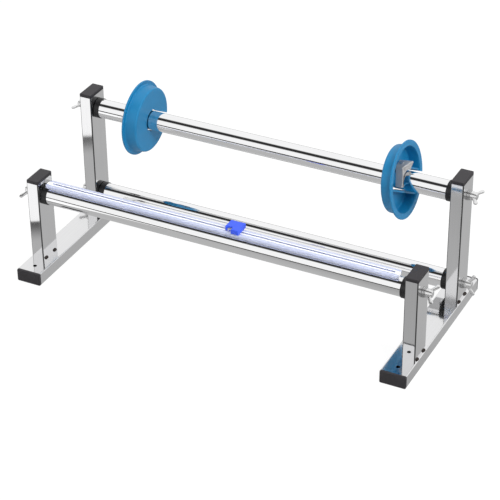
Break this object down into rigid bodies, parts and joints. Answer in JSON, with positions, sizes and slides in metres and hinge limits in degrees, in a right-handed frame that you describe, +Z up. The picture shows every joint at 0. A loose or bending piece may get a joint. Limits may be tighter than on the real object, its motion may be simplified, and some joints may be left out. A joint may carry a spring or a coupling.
{
  "type": "stretch film dispenser",
  "caption": "Counter dispenser for a roll of stretch film: tube side frames, three round bars, core holders that slide and a slide cutter.",
  "frame": {"origin": "centre of the footprint, on the counter", "axes": "+X to the right along the bars, +Y to the rear, where the roll hangs, +Z up"},
  "size_m": [0.503, 0.211, 0.1914],
  "materials": {
    "tube_steel": "polished stainless steel",
    "bar_steel": "mirror polished stainless steel",
    "cap_plastic": "moulded charcoal plastic",
    "plug_plastic": "moulded black plastic",
    "weld_metal": "darkened weld",
    "sleeve_steel": "turned",
    "insert_brass": "turned",
    "foam_tape": "white foam",
    "track_plastic": "milky translucent plastic",
    "cutter_plastic": "moulded royal blue plastic",
    "blade_steel": "ground",
    "holder_plastic": "moulded mid blue plastic",
    "spring_steel": "bright spring steel",
    "rivet_metal": "bright",
    "bolt_steel": "polished stainless steel",
    "washer_steel": "satin stainless steel"
  },
  "bodies": {
    "frame": {"left_rail": "tube_steel", "right_rail": "tube_steel", "left_front_rail_plug": "cap_plastic", "left_rear_rail_plug": "cap_plastic", "right_front_rail_plug": "cap_plastic", "right_rear_rail_plug": "cap_plastic", "left_front_post": "tube_steel", "left_rear_post": "tube_steel", "right_front_post": "tube_steel", "right_rear_post": "tube_steel", "left_front_cap": "cap_plastic", "left_rear_cap": "cap_plastic", "right_front_cap": "cap_plastic", "right_rear_cap": "cap_plastic", "weld_tacks": "weld_metal", "post_sleeves": "sleeve_steel", "front_bar": "bar_steel", "front_bar_left_plug": "plug_plastic", "front_bar_right_plug": "plug_plastic", "front_bar_nuts": "insert_brass", "track_tape": "foam_tape", "cutter_track": "track_plastic"},
    "cutter": {"cutter_body": "cutter_plastic", "cutter_foot": "cutter_plastic", "cutter_blade": "blade_steel"},
    "film_shaft": {"film_shaft": "bar_steel", "film_shaft_left_plug": "plug_plastic", "film_shaft_right_plug": "plug_plastic", "film_shaft_bushes": "insert_brass"},
    "guide_bar": {"guide_bar": "bar_steel", "guide_bar_left_plug": "plug_plastic", "guide_bar_right_plug": "plug_plastic", "guide_bar_bushes": "insert_brass"},
    "left_holder": {"left_core_holder": "holder_plastic", "left_clip": "spring_steel", "left_clip_rivet": "rivet_metal"},
    "right_holder": {"right_core_holder": "holder_plastic", "right_clip": "spring_steel", "right_clip_rivet": "rivet_metal"},
    "front_left_washers": {"front_left_washers": "washer_steel"},
    "front_left_wing_bolt": {"front_left_wing_bolt": "bolt_steel"},
    "front_right_washers": {"front_right_washers": "washer_steel"},
    "front_right_wing_bolt": {"front_right_wing_bolt": "bolt_steel"},
    "film_left_washers": {"film_left_washers": "washer_steel"},
    "film_left_wing_bolt": {"film_left_wing_bolt": "bolt_steel"},
    "film_right_washers": {"film_right_washers": "washer_steel"},
    "film_right_wing_bolt": {"film_right_wing_bolt": "bolt_steel"},
    "guide_left_washers": {"guide_left_washers": "washer_steel"},
    "guide_left_wing_bolt": {"guide_left_wing_bolt": "bolt_steel"},
    "guide_right_washers": {"guide_right_washers": "washer_steel"},
    "guide_right_wing_bolt": {"guide_right_wing_bolt": "bolt_steel"}
  },
  "joints": [
    {"name": "film_shaft_spin", "type": "hinge", "parent": "frame", "child": "film_shaft", "pos_m": [0, 0.0599, 0.1475], "axis": [1, 0, 0], "continuous": true},
    {"name": "guide_bar_spin", "type": "hinge", "parent": "frame", "child": "guide_bar", "pos_m": [0, 0.0599, 0.035], "axis": [1, 0, 0], "continuous": true},
    {"name": "left_holder_slide", "type": "slide", "parent": "film_shaft", "child": "left_holder", "axis": [1, 0, 0], "range_m": [-0.046, 0.145]},
    {"name": "right_holder_slide", "type": "slide", "parent": "film_shaft", "child": "right_holder", "axis": [1, 0, 0], "range_m": [-0.14, 0.044]},
    {"name": "cutter_slide", "type": "slide", "parent": "frame", "child": "cutter", "axis": [1, 0, 0], "range_m": [-0.2235, 0.181]},
    {"name": "front_left_bolt_feed", "type": "slide", "parent": "frame", "child": "front_left_washers", "axis": [-1, 0, 0], "range_m": [0, 0.008]},
    {"name": "front_left_bolt_turn", "type": "hinge", "parent": "front_left_washers", "child": "front_left_wing_bolt", "pos_m": [-0.24, -0.0606, 0.095], "axis": [-1, 0, 0], "range_deg": [0, 2880]},
    {"name": "front_right_bolt_feed", "type": "slide", "parent": "frame", "child": "front_right_washers", "axis": [1, 0, 0], "range_m": [0, 0.008]},
    {"name": "front_right_bolt_turn", "type": "hinge", "parent": "front_right_washers", "child": "front_right_wing_bolt", "pos_m": [0.24, -0.0606, 0.095], "axis": [1, 0, 0], "range_deg": [0, 2880]},
    {"name": "film_left_bolt_feed", "type": "slide", "parent": "frame", "child": "film_left_washers", "axis": [-1, 0, 0], "range_m": [0, 0.008]},
    {"name": "film_left_bolt_turn", "type": "hinge", "parent": "film_left_washers", "child": "film_left_wing_bolt", "pos_m": [-0.24, 0.0599, 0.1475], "axis": [-1, 0, 0], "range_deg": [0, 2880]},
    {"name": "film_right_bolt_feed", "type": "slide", "parent": "frame", "child": "film_right_washers", "axis": [1, 0, 0], "range_m": [0, 0.008]},
    {"name": "film_right_bolt_turn", "type": "hinge", "parent": "film_right_washers", "child": "film_right_wing_bolt", "pos_m": [0.24, 0.0599, 0.1475], "axis": [1, 0, 0], "range_deg": [0, 2880]},
    {"name": "guide_left_bolt_feed", "type": "slide", "parent": "frame", "child": "guide_left_washers", "axis": [-1, 0, 0], "range_m": [0, 0.008]},
    {"name": "guide_left_bolt_turn", "type": "hinge", "parent": "guide_left_washers", "child": "guide_left_wing_bolt", "pos_m": [-0.24, 0.0599, 0.035], "axis": [-1, 0, 0], "range_deg": [0, 2880]},
    {"name": "guide_right_bolt_feed", "type": "slide", "parent": "frame", "child": "guide_right_washers", "axis": [1, 0, 0], "range_m": [0, 0.008]},
    {"name": "guide_right_bolt_turn", "type": "hinge", "parent": "guide_right_washers", "child": "guide_right_wing_bolt", "pos_m": [0.24, 0.0599, 0.035], "axis": [1, 0, 0], "range_deg": [0, 2880]}
  ],
  "couplings": [
    {"joint": "front_left_bolt_feed", "follows": "front_left_bolt_turn", "m_per_rad": 0.00015915},
    {"joint": "front_right_bolt_feed", "follows": "front_right_bolt_turn", "m_per_rad": 0.00015915},
    {"joint": "film_left_bolt_feed", "follows": "film_left_bolt_turn", "m_per_rad": 0.00015915},
    {"joint": "film_right_bolt_feed", "follows": "film_right_bolt_turn", "m_per_rad": 0.00015915},
    {"joint": "guide_left_bolt_feed", "follows": "guide_left_bolt_turn", "m_per_rad": 0.00015915},
    {"joint": "guide_right_bolt_feed", "follows": "guide_right_bolt_turn", "m_per_rad": 0.00015915}
  ]
}
